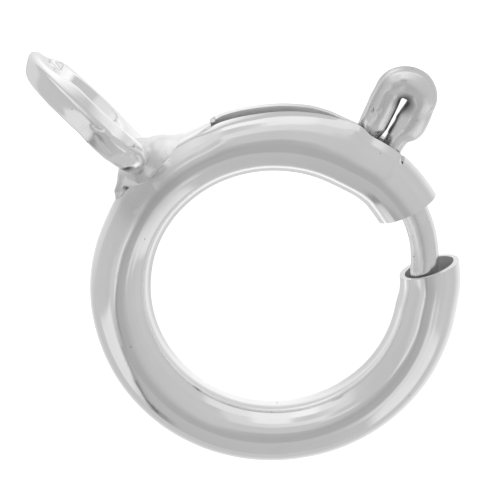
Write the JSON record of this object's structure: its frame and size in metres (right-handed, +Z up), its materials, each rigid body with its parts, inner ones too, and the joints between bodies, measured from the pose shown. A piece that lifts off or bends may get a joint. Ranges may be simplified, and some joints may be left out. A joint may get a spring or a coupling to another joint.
{
  "type": "spring ring clasp",
  "caption": "Round tubular ring with a gap closed by a sprung curved bolt, worked by a bent-wire trigger in a slot, and a wire eyelet standing on edge.",
  "frame": {"origin": "under the middle of the whole clasp, on the surface that it lies on", "axes": "+Z up; the clasp lies on its side with the eyelet towards +X and the trigger towards -Y; the ring's own axis leans 7.2 degrees from +Z towards -X, because the eyelet stands on edge and lifts that side"},
  "size_m": [0.0184, 0.0158, 0.0058],
  "materials": {
    "case_silver": "polished sterling silver",
    "bolt_silver": "polished sterling silver with drawing lines and small pits",
    "spring_steel": "bright drawn spring wire"
  },
  "bodies": {
    "case": {"case": "case_silver", "spring": "spring_steel"},
    "bolt": {"bolt": "bolt_silver"}
  },
  "joints": [
    {"name": "bolt_slide", "type": "hinge", "parent": "case", "child": "bolt", "pos_m": [-0.00276, 0.00137, 0.00175], "axis": [-0.1252, 0, 0.9921], "range_deg": [0, 46], "stiffness_Nm_per_rad": 0.01, "springref_deg": -21.2, "deforming": ["spring"]}
  ]
}
